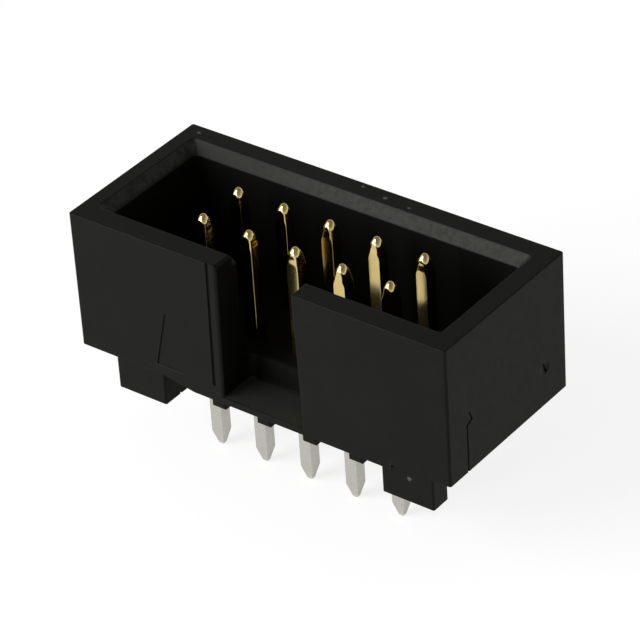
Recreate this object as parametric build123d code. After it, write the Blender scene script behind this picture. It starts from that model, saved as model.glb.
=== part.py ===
from build123d import *
import os
from math import sqrt

# Ten-way shrouded pin header, keyed, straight, for through-hole mounting.
# Frame: millimetres, +Z up. The origin is the centre of the pin pattern on the board plane,
# which is the plane of the feet. X runs along the rows, and the key slot is on the -Y side.

# Pin pattern
pitch = 2.54
columns = 5
rows = 2

# Contact pins
pin_side = 0.64
pin_edge = 0.03
pin_top = 9.145
dome_height = 0.295
neck_half = 0.26
neck_radius = 0.305
neck_length = 0.22
shoulder_length = 0.3
corner_cut_length = 0.58
tail_length = 3.3
tail_taper = 0.75
tail_tip = 0.26

# Housing walls
end_margin = 5.08
side_margin = 3.18
rim_height = 9.23
wall = 1.4
end_wall = 1.25
cavity_shift_x = -0.09
cavity_shift_y = 0.05
outer_corner = 0.12
inner_corner = 0.25
rim_edge = 0.05
lead_in_width = 0.4
lead_in_depth = 0.6

# Floor and underside
floor_top = 3.6
wall_bottom = 2.22
floor_bottom = 1.93
floor_ramp_start = 5.35
floor_ramp_length = 1.6
rib_width = 0.66
rib_edge = 0.1

# Feet
foot_setback = 0.63
foot_depth = 1.01
front_foot_reach = 8.75
back_foot_reach = 8.3
foot_edge = 0.08

# Key slot in the front wall, a little narrower at the rim than at its shelf
slot_centre = 0.13
slot_rim_width = 4.05
slot_shelf_width = 4.35
slot_shelf = 2.24
slot_cover = 0.8
slot_left_edge = 0.15
slot_right_edge = 0.08
slot_corner = 0.4

# Groove beside the slot
groove_gap = 0.48
groove_width = 0.17
groove_depth = 0.07
groove_bottom = 2.75

# Hooked mould line and dimple on the right end wall
line_width = 0.1
line_depth = 0.05
line_y = -3.1
line_top = 4.64
hook_reach = 0.36
hook_rise = 0.3
dimple_y = 2.78
dimple_z = 4.14
dimple_radius = 0.36
dimple_depth = 0.05
pit_length = 0.6
pit_width = 0.15
pit_depth = 0.1
pit_tilt = 23

# Pin 1 mark: a shallow upright triangle in the front wall
mark_bottom = 2.7
mark_height = 2.97
mark_width = 1.4
mark_depth = 0.045

# Sizes that follow from those above
length = (columns - 1) * pitch + 2 * end_margin
width = (rows - 1) * pitch + 2 * side_margin
front_face = -width / 2
right_face = length / 2
rib_reach = width / 2 - foot_setback - foot_depth
row_y = (rows - 1) * pitch / 2
slot_back = -row_y - pin_side / 2 - slot_cover


def column_x(index):
    """X of a pin column, counted from the left end."""
    return (index - (columns - 1) / 2) * pitch


def rib_x(index):
    """X of a rib, midway between two columns or half a pitch beyond the last one."""
    return (index - columns / 2) * pitch


def block(x_range, y_range, z_range):
    """Rectangular block between two limits on each axis."""
    size = [high - low for low, high in (x_range, y_range, z_range)]
    corner = Pos(x_range[0], y_range[0], z_range[0])
    return corner * Box(*size, align=(Align.MIN, Align.MIN, Align.MIN))


def at_height(sketch, z):
    """A flat outline lifted to a height."""
    return Pos(0, 0, z) * sketch


def shroud():
    """Rectangular shroud with softened rim and corners, solid below the floor level."""
    outline = RectangleRounded(length, width, outer_corner)
    body = extrude(at_height(outline, wall_bottom), rim_height - wall_bottom)
    rim_edges = body.edges().group_by(Axis.Z)[-1]
    return fillet(rim_edges, rim_edge)


def cavity():
    """Space for the plug: straight walls with a sloped lead-in at the rim."""
    inner_length = length - 2 * end_wall
    inner_width = width - 2 * wall
    inner = RectangleRounded(inner_length, inner_width, inner_corner)
    mouth = RectangleRounded(inner_length + 2 * lead_in_width, inner_width + 2 * lead_in_width, inner_corner)
    slope_bottom = rim_height - lead_in_depth
    straight = extrude(at_height(inner, floor_top), slope_bottom - floor_top)
    slope = loft([at_height(inner, slope_bottom), at_height(mouth, rim_height)], ruled=True)
    return Pos(cavity_shift_x, cavity_shift_y, 0) * (straight + slope)


def slot_side(side, z):
    """X of one side of the slot at a height. Side is -1 for the left and 1 for the right."""
    rise = (z - slot_shelf) / (rim_height - slot_shelf)
    return slot_centre + side * (slot_shelf_width + (slot_rim_width - slot_shelf_width) * rise) / 2


def is_steep(edge):
    """True for an edge that climbs more than it runs."""
    run = edge.position_at(1) - edge.position_at(0)
    return abs(run.Z) > abs(run.X) + abs(run.Y)


def key_slot():
    """Slot through the front wall, which runs below the cavity floor down to a thin shelf."""
    above_rim = rim_height + wall
    with BuildSketch(Plane.XZ) as opening:
        Polygon((slot_side(-1, slot_shelf), slot_shelf), (slot_side(1, slot_shelf), slot_shelf),
                (slot_side(1, above_rim), above_rim), (slot_side(-1, above_rim), above_rim), align=None)
    cut = Pos(0, slot_back, 0) * extrude(opening.sketch, width)
    back_corners = cut.edges().filter_by(is_steep).group_by(Axis.Y)[-1]
    return fillet(back_corners, slot_corner)


def slot_mouth_edge(body, side):
    """The long edge where one side of the slot meets the front face."""
    middle_z = (slot_shelf + rim_height) / 2
    place = Vector(slot_side(side, middle_z), front_face, middle_z)
    return body.edges().filter_by(is_steep).sort_by_distance(place)[0]


def underside():
    """Thicker floor between the feet, ramped up at the pin 1 end."""
    ramp_end = floor_ramp_length - floor_ramp_start
    right_end = rib_x(columns) + rib_width
    with BuildSketch(Plane.XZ) as profile:
        Polygon((-floor_ramp_start, wall_bottom), (ramp_end, floor_bottom), (right_end, floor_bottom),
                (right_end, wall_bottom), align=None)
    return extrude(profile.sketch, width / 2, both=True)


def ribs():
    """Cross ribs between the pins, which stand on the board with the feet."""
    solids = Part()
    for index in range(columns + 1):
        x = rib_x(index)
        rib = block((x - rib_width / 2, x + rib_width / 2), (-rib_reach, rib_reach), (0, wall_bottom))
        ends = rib.edges().filter_by(Axis.X).group_by(Axis.Z)[0]
        solids += chamfer(ends, rib_edge)
    return solids


def foot(side_x, side_y):
    """Corner foot that joins the end of the outermost rib. The back pair is shorter."""
    inner = rib_x(columns) - rib_width / 2
    outer = front_foot_reach if side_y < 0 else back_foot_reach
    toe = width / 2 - foot_setback
    x_range = sorted((side_x * inner, side_x * outer))
    y_range = sorted((side_y * rib_reach, side_y * toe))
    solid = block(x_range, y_range, (0, wall_bottom))
    toe_edges = solid.edges().filter_by(Axis.Z).sort_by(lambda edge: side_y * edge.center().Y)[-2:]
    return fillet(toe_edges, foot_edge)


def pin_one_mark():
    """Shallow upright triangle in front of pin 1."""
    left = column_x(0) - mark_width / 2
    with BuildSketch(Plane.XZ) as triangle:
        Polygon((left, mark_bottom), (left + mark_width, mark_bottom),
                (left + mark_width / 2, mark_bottom + mark_height), align=None)
    return Pos(0, front_face, 0) * extrude(triangle.sketch, mark_depth, both=True)


def groove():
    """Groove in the front face, along the left side of the slot."""
    half = groove_width / 2
    low = slot_side(-1, groove_bottom) - groove_gap
    high = slot_side(-1, rim_height) - groove_gap
    with BuildSketch(Plane.XZ) as strip:
        Polygon((low - half, groove_bottom), (low + half, groove_bottom), (high + half, rim_height),
                (high - half, rim_height), align=None)
    return Pos(0, front_face, 0) * extrude(strip.sketch, groove_depth, both=True)


def end_marks():
    """Hooked fine line, and a dished dimple with a slanted pit, on the right end wall."""
    knee = (line_y, line_top)
    tip = (line_y + hook_reach, line_top + hook_rise / 2)
    end = (line_y + hook_reach / 2, line_top + 2 * hook_rise)
    face = Plane(origin=(right_face, 0, 0), x_dir=(0, 1, 0), z_dir=(1, 0, 0))
    with BuildSketch(face) as line:
        with BuildLine():
            path = Polyline((line_y, wall_bottom - line_width), knee, tip, end)
        trace(path, line_width)
    dish_radius = (dimple_radius**2 + dimple_depth**2) / (2 * dimple_depth)
    dish = Pos(right_face + dish_radius - dimple_depth, dimple_y, dimple_z) * Sphere(dish_radius)
    pit_place = face * Pos(dimple_y, dimple_z) * Rot(0, 0, 90 + pit_tilt)
    pit = extrude(pit_place * SlotOverall(pit_length, pit_width), pit_depth, both=True)
    return [extrude(line.sketch, line_depth, both=True), dish, pit]


def pin_places():
    """Centre of each pin with its number: odd numbers in the front row, even in the back row."""
    places = []
    for column in range(columns):
        for row in range(rows):
            number = column * rows + row + 1
            places.append((number, column_x(column), -row_y + row * pitch))
    return places


def housing():
    """One moulding: shroud, floor, ribs and feet, with a square hole for each pin."""
    body = shroud() - cavity() + underside() + ribs()
    for side_x in (-1, 1):
        for side_y in (-1, 1):
            body += foot(side_x, side_y)
    body -= key_slot()
    body = fillet(slot_mouth_edge(body, -1), slot_left_edge)
    body = fillet(slot_mouth_edge(body, 1), slot_right_edge)
    for cut in [pin_one_mark(), groove()] + end_marks():
        body -= cut
    hole = extrude(Rectangle(pin_side, pin_side), floor_top + wall)
    for number, x, y in pin_places():
        body -= Pos(x, y, 0) * hole
    return body


def post_outline():
    """The post seen square-on: tapered tail, straight shank, soft shoulder, neck and dome."""
    half = pin_side / 2
    dome_bottom = pin_top - dome_height
    shoulder_top = dome_bottom - neck_length
    shoulder_bottom = shoulder_top - shoulder_length
    with BuildSketch(Plane.XZ) as outline:
        with BuildLine():
            Polyline((0, pin_top), (0, -tail_length), (tail_tip / 2, -tail_length),
                     (half, tail_taper - tail_length), (half, shoulder_bottom))
            Spline((half, shoulder_bottom), (neck_half, shoulder_top), tangents=((0, 1), (0, 1)))
            Line((neck_half, shoulder_top), (neck_half, dome_bottom))
            EllipticalCenterArc((0, dome_bottom), neck_half, dome_height, arc_size=90)
        make_face()
        mirror(about=Plane.YZ)
    return extrude(outline.sketch, pin_side, both=True)


def turned_tip():
    """Turned outline that takes the corners off the mating end."""
    corner_radius = pin_side / sqrt(2)
    dome_bottom = pin_top - dome_height
    cut_top = dome_bottom - neck_length
    with BuildSketch(Plane.XZ) as outline:
        with BuildLine():
            Polyline((0, pin_top), (0, -tail_length), (corner_radius, -tail_length),
                     (corner_radius, cut_top - corner_cut_length), (neck_radius, cut_top),
                     (neck_radius, dome_bottom))
            EllipticalCenterArc((0, dome_bottom), neck_radius, dome_height, arc_size=90)
        make_face()
    return revolve(outline.sketch, Axis.Z)


def contact_pin():
    """Square post with a domed mating end and a tapered solder tail."""
    section = fillet(Rectangle(pin_side, pin_side).vertices(), pin_edge)
    post = extrude(at_height(section, -tail_length), pin_top + tail_length)
    outline = post_outline()
    return post & outline & outline.rotate(Axis.Z, 90) & turned_tip()


os.makedirs("parts", exist_ok=True)
export_step(housing(), "parts/housing.step")
pin = contact_pin()
for number, x, y in pin_places():
    export_step(Pos(x, y, 0) * pin, f"parts/pin_{number}.step")
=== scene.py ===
import bpy
import math
from mathutils import Matrix, Vector

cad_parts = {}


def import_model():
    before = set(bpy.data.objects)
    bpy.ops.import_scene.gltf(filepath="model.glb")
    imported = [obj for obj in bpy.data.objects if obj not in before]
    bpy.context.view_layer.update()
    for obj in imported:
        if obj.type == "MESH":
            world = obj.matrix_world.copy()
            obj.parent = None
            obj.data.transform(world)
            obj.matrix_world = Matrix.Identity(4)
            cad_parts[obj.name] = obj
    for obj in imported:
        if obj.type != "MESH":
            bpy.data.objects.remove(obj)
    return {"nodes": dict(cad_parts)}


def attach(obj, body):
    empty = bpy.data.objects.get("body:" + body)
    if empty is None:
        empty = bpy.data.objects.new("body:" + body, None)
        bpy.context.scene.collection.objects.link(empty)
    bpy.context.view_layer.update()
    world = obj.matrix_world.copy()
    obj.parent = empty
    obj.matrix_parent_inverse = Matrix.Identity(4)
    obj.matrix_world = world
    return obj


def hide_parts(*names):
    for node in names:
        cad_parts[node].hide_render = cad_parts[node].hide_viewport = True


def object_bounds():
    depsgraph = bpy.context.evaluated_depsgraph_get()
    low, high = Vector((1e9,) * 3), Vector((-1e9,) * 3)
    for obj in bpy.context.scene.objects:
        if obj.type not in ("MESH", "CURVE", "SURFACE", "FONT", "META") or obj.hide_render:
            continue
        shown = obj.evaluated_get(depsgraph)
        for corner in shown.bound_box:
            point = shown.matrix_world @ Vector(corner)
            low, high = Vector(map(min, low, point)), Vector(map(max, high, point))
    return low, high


# Ten-way shrouded pin header. Metres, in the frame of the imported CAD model.

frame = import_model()
cad_low, cad_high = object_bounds()
MM = 0.001


# ---------------------------------------------------------------- node helpers

class Tree:
    """Short calls for building a node tree."""

    def __init__(self, owner):
        owner.use_nodes = True
        self.tree = owner.node_tree
        self.tree.nodes.clear()

    def add(self, kind, settings=None, **inputs):
        """Adds a node. An input is a value or another node's output socket."""
        made = self.tree.nodes.new("ShaderNode" + kind)
        for key, value in (settings or {}).items():
            setattr(made, key, value)
        for key, value in inputs.items():
            self.feed(made, key, value)
        return made

    def feed(self, made, key, value):
        name = int(key[1:]) if key[0] == "i" and key[1:].isdigit() else key.replace("_", " ")
        socket = made.inputs[name]
        if isinstance(value, bpy.types.NodeSocket):
            self.tree.links.new(value, socket)
        else:
            socket.default_value = value

    def math(self, operation, first, second):
        made = self.add("Math", {"operation": operation}, i0=first, i1=second)
        return made.outputs[0]

    def mix_colour(self, factor, first, second):
        made = self.add("Mix", {"data_type": "RGBA"})
        self.feed(made, "i0", factor)
        self.feed(made, "i6", first)
        self.feed(made, "i7", second)
        return made.outputs[2]

    def mix_value(self, factor, first, second):
        made = self.add("Mix", {"data_type": "FLOAT"})
        self.feed(made, "i0", factor)
        self.feed(made, "i2", first)
        self.feed(made, "i3", second)
        return made.outputs[0]

    def noise(self, vector, scale, detail, roughness):
        made = self.add("TexNoise", Vector=vector, Scale=scale, Detail=detail, Roughness=roughness)
        return made.outputs[0]

    def ramp(self, value, low, high, to_low=0.0, to_high=1.0):
        """A smooth step between two values."""
        made = self.add("MapRange", {"interpolation_type": "SMOOTHSTEP"})
        for index, number in enumerate((value, low, high, to_low, to_high)):
            self.feed(made, f"i{index}", number)
        return made.outputs[0]

    def scaled(self, vector, scale):
        made = self.add("Mapping", Vector=vector, Scale=scale)
        return made.outputs[0]

    def near(self, position, centre, radius, softness):
        """1 within a small ball round a point, and 0 outside it."""
        gap = self.add("VectorMath", {"operation": "DISTANCE"}, i0=position, i1=centre).outputs[1]
        return self.ramp(gap, radius * (1 - softness), radius, 1.0, 0.0)

    def within(self, axis_value, low, high, soft):
        """1 between two limits along an axis, with soft ends."""
        rising = self.ramp(axis_value, low - soft, low + soft)
        falling = self.ramp(axis_value, high - soft, high + soft, 1.0, 0.0)
        return self.math("MULTIPLY", rising, falling)

    def zone(self, axes, ranges, soft=0.03):
        """1 inside a box given by its ranges along X, Y and Z."""
        x, y, z = [self.within(value, *limits, soft) for value, limits in zip(axes, ranges)]
        return self.math("MULTIPLY", self.math("MULTIPLY", x, y), z)

    def any_of(self, masks):
        total = masks[0]
        for mask in masks[1:]:
            total = self.math("MAXIMUM", total, mask)
        return total

    def surface(self, shader):
        self.tree.links.new(shader, self.add("OutputMaterial").inputs[0])


def new_material(name):
    material = bpy.data.materials.new(name)
    return material, Tree(material)


# ------------------------------------------------------------------- materials

# Places on the housing, as ranges along X, Y and Z in millimetres. The cavity and the slot
# are painted darker as painted shade; the slot's shelf, the ledge at the foot of the pin 1 mark
# and the step beside the right foot are painted lighter than the walls as painted light.
CAVITY = ((-9.05, 8.87), (-3.04, 3.14), (3.5, 8.6))
SLOT = ((-2.2, 2.35), (-4.36, -2.45), (3.55, 9.1))
SHELF = ((-2.15, 2.4), (-4.40, -2.45), (2.15, 2.32))
LEAD_IN = ((-9.45, 9.3), (-3.35, 3.50), (8.66, 9.20))
MARK = ((-6.0, -4.2), (-4.6, -4.3), (2.5, 5.9))
MARK_LEDGE = ((-5.85, -4.30), (-4.47, -4.38), (2.68, 2.72))
FOOT_STEP = ((6.98, 7.04), (-4.50, -3.80), (1.90, 2.25))

# Pale dust specks on the rim and on the right foot: centre and radius, in millimetres
DUST = (((-9.3, 4.05, 9.33), 0.13), ((-0.2, 4.25, 9.33), 0.12), ((1.2, 4.0, 9.33), 0.16),
        ((2.57, 3.88, 9.33), 0.12), ((7.6, -3.72, 1.35), 0.15))


def black_plastic():
    """Satin moulded plastic: faint mottling, fine texture, softened edges and dust, with painted
    shade in the cavity and slot and painted highlights on the lead-in, the slot's shelf and two
    ledges.
    """
    material, t = new_material("housing_plastic_black")
    place = t.add("TexCoord").outputs["Object"]
    mm = t.scaled(place, (1 / MM,) * 3)
    cloud = t.noise(mm, 0.55, 3.0, 0.6)
    mottle = t.noise(mm, 3.2, 4.0, 0.62)
    grain = t.noise(mm, 15.0, 2.0, 0.7)
    fibre = t.noise(t.scaled(mm, (0.35, 1.0, 1.0)), 22.0, 1.0, 0.5)

    tone = t.ramp(t.math("ADD", t.math("MULTIPLY", mottle, 0.65), t.math("MULTIPLY", cloud, 0.35)),
                  0.36, 0.64)
    base = t.mix_colour(tone, (0.0026, 0.0028, 0.0023, 1), (0.0040, 0.0043, 0.0035, 1))
    flecks = t.ramp(fibre, 0.66, 0.76)
    base = t.mix_colour(t.math("MULTIPLY", flecks, 0.35), base, (0.009, 0.0095, 0.008, 1))

    axes = t.add("SeparateXYZ", Vector=mm).outputs
    inside = t.any_of([t.zone(axes, CAVITY), t.zone(axes, SLOT)])
    # Painted shade: the cavity and the slot are painted near black, darker than the outside walls.
    base = t.mix_colour(inside, base, (0.0010, 0.0011, 0.0008, 1))
    # Painted highlight: the shelf in the slot is painted lighter than the walls.
    shelf = t.zone(axes, SHELF)
    base = t.mix_colour(shelf, base, (0.020, 0.021, 0.018, 1))
    # Painted highlight on the lead-in band: weakest towards the left end, strongest towards the
    # right and along the left end itself, patchy with the mottling.
    lead_in = t.zone(axes, LEAD_IN)
    along = t.any_of([t.ramp(axes[0], -8.0, 1.0, 0.35, 1.0),
                      t.ramp(axes[0], -9.15, -8.95, 1.0, 0.0)])
    painted_lead_in_highlight = t.math("MULTIPLY", along, t.ramp(mottle, 0.34, 0.60, 0.40, 1.0))
    # Painted highlight: the pin 1 mark's ledge and the step beside the right foot are painted
    # lighter, which also takes out the shade under the step.
    ledge = t.any_of([t.zone(axes, MARK_LEDGE, 0.01), t.zone(axes, FOOT_STEP, 0.01)])
    base = t.mix_colour(ledge, base, (0.025, 0.026, 0.022, 1))
    base = t.mix_colour(t.math("MULTIPLY", lead_in, painted_lead_in_highlight), base, (0.026, 0.027, 0.0235, 1))
    ragged = t.scaled(t.add("TexNoise", Vector=mm, Scale=9.0).outputs[1], (0.2,) * 3)
    specks = t.add("VectorMath", {"operation": "ADD"}, i0=mm, i1=ragged).outputs[0]
    dust = t.any_of([t.near(specks, spot, radius, 0.8) for spot, radius in DUST])
    base = t.mix_colour(t.math("MULTIPLY", dust, 0.55), base, (0.14, 0.14, 0.125, 1))

    rough = t.mix_value(inside, t.mix_value(mottle, 0.38, 0.58), 0.78)

    height = t.math("ADD", t.math("MULTIPLY", grain, 0.35), t.math("MULTIPLY", mottle, 0.65))
    soft_edges = t.add("Bevel", {"samples": 4}, Radius=0.06 * MM).outputs[0]
    plain = t.add("NewGeometry").outputs["Normal"]
    crisp = t.zone(axes, MARK)
    edges = t.add("Mix", {"data_type": "VECTOR"}, i0=crisp, i4=soft_edges, i5=plain).outputs[1]
    bump = t.add("Bump", Strength=0.30, Distance=0.015 * MM, Height=height, Normal=edges)
    shader = t.add("BsdfPrincipled", Base_Color=base, Roughness=rough, Normal=bump.outputs[0])
    shader.inputs["Specular IOR Level"].default_value = 0.095
    shader.inputs["Specular Tint"].default_value = (0.97, 1.0, 0.87, 1)
    t.surface(shader.outputs[0])
    return material


def plated_metal():
    """Gold plated mating end and tin plated tail on one drawn post."""
    material, t = new_material("pin_metal_gold_and_tin")
    place = t.add("TexCoord").outputs["Object"]
    mm = t.scaled(place, (1 / MM,) * 3)
    height_mm = t.add("SeparateXYZ", Vector=mm).outputs[2]
    drawn = t.noise(t.scaled(mm, (1.0, 1.0, 0.08)), 26.0, 2.0, 0.6)
    patch = t.noise(mm, 2.6, 3.0, 0.6)

    gold = t.mix_colour(patch, (0.62, 0.47, 0.185, 1), (0.70, 0.55, 0.235, 1))
    tin = t.mix_colour(patch, (0.52, 0.51, 0.46, 1), (0.60, 0.59, 0.535, 1))
    on_gold = t.ramp(height_mm, 2.3, 2.7)
    base = t.mix_colour(on_gold, tin, gold)
    rough = t.mix_value(on_gold, t.mix_value(drawn, 0.24, 0.32), t.mix_value(drawn, 0.07, 0.14))
    bump = t.add("Bump", Strength=0.03, Distance=0.01 * MM, Height=drawn)
    shader = t.add("BsdfPrincipled", Base_Color=base, Roughness=rough, Normal=bump.outputs[0])
    shader.inputs["Metallic"].default_value = 1.0
    t.surface(shader.outputs[0])
    return material


def dress(node, material):
    mesh = frame["nodes"][node].data
    mesh.materials.clear()
    mesh.materials.append(material)


plastic = black_plastic()
metal = plated_metal()
for node in frame["nodes"]:
    dress(node, plastic if node == "housing" else metal)


# ----------------------------------------------------------------------- posts

# Profile of a contact in millimetres: height, half width between flats, radius of the corners
POST_HALF, POST_RADIUS = 0.32, 0.44
TAIL = [(-3.30, 0.085, 0.11), (-3.285, 0.105, 0.135), (-3.25, 0.13, 0.17), (-3.18, 0.15, 0.20),
        (-2.56, 0.315, 0.43), (-2.50, POST_HALF, POST_RADIUS)]
SHANK = [(z, POST_HALF, POST_RADIUS) for z in (-2.2, -1.0, 0.5, 2.0, 3.6, 5.0, 6.5, 7.5, 7.9, 8.08)]
SHOULDER_LOW, SHOULDER_HIGH = 8.38, 8.68
NECK_HALF, NECK_RADIUS = 0.278, 0.322
DOME_LOW, POST_TOP = 8.78, 9.145
NECK_STEPS, DOME_STEPS = 30, 20

# How far the corners reach from the axis, by height, from the square shank to the round neck
CORNERS = ((8.14, POST_RADIUS), (8.28, 0.425), (8.65, 0.338), (8.72, 0.326), (DOME_LOW, NECK_RADIUS))


def smooth(value, low, high):
    part = min(max((value - low) / (high - low), 0.0), 1.0)
    return part * part * (3 - 2 * part)


def corner_reach(z):
    """How far the corners reach from the axis at a height below the dome."""
    for (low, low_reach), (high, high_reach) in zip(CORNERS, CORNERS[1:]):
        if z <= high:
            return low_reach + (high_reach - low_reach) * max(z - low, 0.0) / (high - low)
    return NECK_RADIUS


def post_profile():
    """Levels of the whole contact from the tail's tip to the top of the dome."""
    levels = TAIL + SHANK
    start = CORNERS[0][0]
    for i in range(1, NECK_STEPS + 1):
        z = start + (DOME_LOW - start) * i / NECK_STEPS
        half = POST_HALF + (NECK_HALF - POST_HALF) * smooth(z, SHOULDER_LOW, SHOULDER_HIGH)
        levels.append((z, half, corner_reach(z)))
    for i in range(1, DOME_STEPS):
        rise = math.sin(math.radians(90 / DOME_STEPS * i))
        narrow = (1 - rise ** 1.35) ** 0.48
        half = NECK_HALF * narrow
        round_part = min(1.0, rise / 0.6)
        reach = half + (NECK_RADIUS - NECK_HALF) * narrow * (1 - round_part)
        levels.append((DOME_LOW + (POST_TOP - DOME_LOW) * rise, half, reach))
    return levels


def post_ring(half, reach):
    """Outline of a square with round corners. Every ring has the same number of points."""
    corner = min((half * math.sqrt(2) - reach) / (math.sqrt(2) - 1), half * 0.999)
    straight = half - corner
    points = []
    for side in range(4):
        middle = math.radians(90) * side
        outline = [(half, straight * part) for part in (-0.93, -0.5, 0, 0.5, 0.93)]
        for i in range(6):
            turn = math.radians(18 * i)
            outline.append((straight + corner * math.cos(turn), straight + corner * math.sin(turn)))
        cos, sin = math.cos(middle), math.sin(middle)
        points += [(x * cos - y * sin, x * sin + y * cos) for x, y in outline]
    return points


def fine_post(number, x, y):
    """A finely meshed contact with a rounder tip. It stands for the CAD contact of its number."""
    levels = post_profile()
    points, faces = [], []
    for z, half, radius in levels:
        points += [((x + px) * MM, (y + py) * MM, z * MM) for px, py in post_ring(half, radius)]
    count = len(points) // len(levels)
    for level in range(len(levels) - 1):
        for i in range(count):
            j = (i + 1) % count
            low, high = level * count, (level + 1) * count
            faces.append((low + i, low + j, high + j, high + i))
    points.append((x * MM, y * MM, POST_TOP * MM))
    last = (len(levels) - 1) * count
    faces += [(last + i, last + (i + 1) % count, len(points) - 1) for i in range(count)]
    faces.append(tuple(reversed(range(count))))
    mesh = bpy.data.meshes.new(f"post_{number}")
    mesh.from_pydata(points, [], faces)
    mesh.shade_smooth()
    mesh.materials.append(metal)
    post = bpy.data.objects.new(f"post_{number}", mesh)
    bpy.context.scene.collection.objects.link(post)
    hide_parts(f"pin_{number}")
    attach(post, "root")


PITCH, COLUMNS, ROWS = 2.54, 5, 2
for column in range(COLUMNS):
    for row in range(ROWS):
        fine_post(ROWS * column + row + 1, (column - 2) * PITCH, (row - 0.5) * PITCH)


# ------------------------------------------------------------- floor and world

FLOOR_Z = cad_low.z
FLOOR_REACH = 0.9
FLOOR_SIDES = 64


def seen_ray(t):
    """1 for camera, glossy and transmission rays."""
    path = t.add("LightPath")
    names = ("Is Camera Ray", "Is Glossy Ray", "Is Transmission Ray")
    return t.any_of([path.outputs[name] for name in names])


def floor():
    """A wide pale disc that the solder tails stand on. It is seen from above only."""
    mesh = bpy.data.meshes.new("studio_floor")
    turns = [2 * math.pi * i / FLOOR_SIDES for i in range(FLOOR_SIDES)]
    rim = [(FLOOR_REACH * math.cos(a), FLOOR_REACH * math.sin(a), FLOOR_Z) for a in turns]
    mesh.from_pydata(rim, [], [list(range(FLOOR_SIDES))])
    disc = bpy.data.objects.new("studio_floor", mesh)
    bpy.context.scene.collection.objects.link(disc)
    material, t = new_material("studio_floor_white")
    plain = t.add("BsdfDiffuse", Color=(0.85, 0.85, 0.85, 1))
    camera_ray = t.add("LightPath").outputs["Is Camera Ray"]
    shade = t.mix_value(camera_ray, 0.50, 0.25)
    pale = t.add("BsdfDiffuse", Color=t.add("CombineColor", i0=shade, i1=shade, i2=shade).outputs[0])
    glow = t.add("Emission", Color=(1, 1, 1, 1), Strength=t.mix_value(camera_ray, 0.50, 0.80))
    white = t.add("AddShader", i0=pale.outputs[0], i1=glow.outputs[0])
    mixed = t.add("MixShader", i0=seen_ray(t), i1=plain.outputs[0], i2=white.outputs[0])
    below = t.add("NewGeometry").outputs["Backfacing"]
    clear = t.add("BsdfTransparent")
    t.surface(t.add("MixShader", i0=below, i1=mixed.outputs[0], i2=clear.outputs[0]).outputs[0])
    mesh.materials.append(material)


def world():
    """White where it is seen, darker overhead in reflections, and a plain even light otherwise."""
    made = bpy.data.worlds.new("studio_world")
    bpy.context.scene.world = made
    t = Tree(made)
    rise = t.add("SeparateXYZ", Vector=t.add("TexCoord").outputs["Generated"]).outputs[2]
    overhead = t.ramp(rise, 0.10, 0.60, 1.0, 0.25)
    seen = t.mix_value(t.add("LightPath").outputs["Is Glossy Ray"], 1.0, overhead)
    strength = t.mix_value(seen_ray(t), 0.45, seen)
    sky = t.add("Background", Color=(1, 1, 1, 1), Strength=strength)
    t.tree.links.new(sky.outputs[0], t.add("OutputWorld").inputs[0])


def lamp(name, toward, distance, size, power):
    """A soft square lamp that shines on the middle of the object."""
    data = bpy.data.lights.new(name, "AREA")
    data.shape = "SQUARE"
    data.size = size
    data.energy = power
    made = bpy.data.objects.new(name, data)
    bpy.context.scene.collection.objects.link(made)
    direction = Vector(toward).normalized()
    made.location = (cad_low + cad_high) / 2 + direction * distance
    made.rotation_euler = (-direction).to_track_quat("-Z", "Y").to_euler()


floor()
world()
lamp("key_lamp", (-0.52, -0.756, 0.42), 0.35, 0.26, 1.5)


# ---------------------------------------------------------------------- camera

def camera():
    """A long lens at the photograph's viewing angle."""
    azimuth, elevation, roll = (math.radians(a) for a in (38.873, 34.127, -3.888))
    aim = Vector((-1.2769, 1.7011, 3.1365)) * MM
    distance = 165.295 * MM
    forward = Vector((-math.sin(azimuth) * math.cos(elevation),
                      math.cos(azimuth) * math.cos(elevation), -math.sin(elevation)))
    level = Vector((math.cos(azimuth), math.sin(azimuth), 0))
    upright = level.cross(forward)
    right = math.cos(roll) * level + math.sin(roll) * upright
    up = right.cross(forward)
    data = bpy.data.cameras.new("camera")
    data.sensor_width = 36
    data.lens = 207.03
    data.clip_start = 0.01
    data.clip_end = 10
    made = bpy.data.objects.new("camera", data)
    bpy.context.scene.collection.objects.link(made)
    axes = Matrix((right, up, -forward)).transposed().to_4x4()
    made.matrix_world = Matrix.Translation(aim - forward * distance) @ axes
    bpy.context.scene.camera = made


camera()
bpy.context.scene.view_settings.view_transform = "Standard"
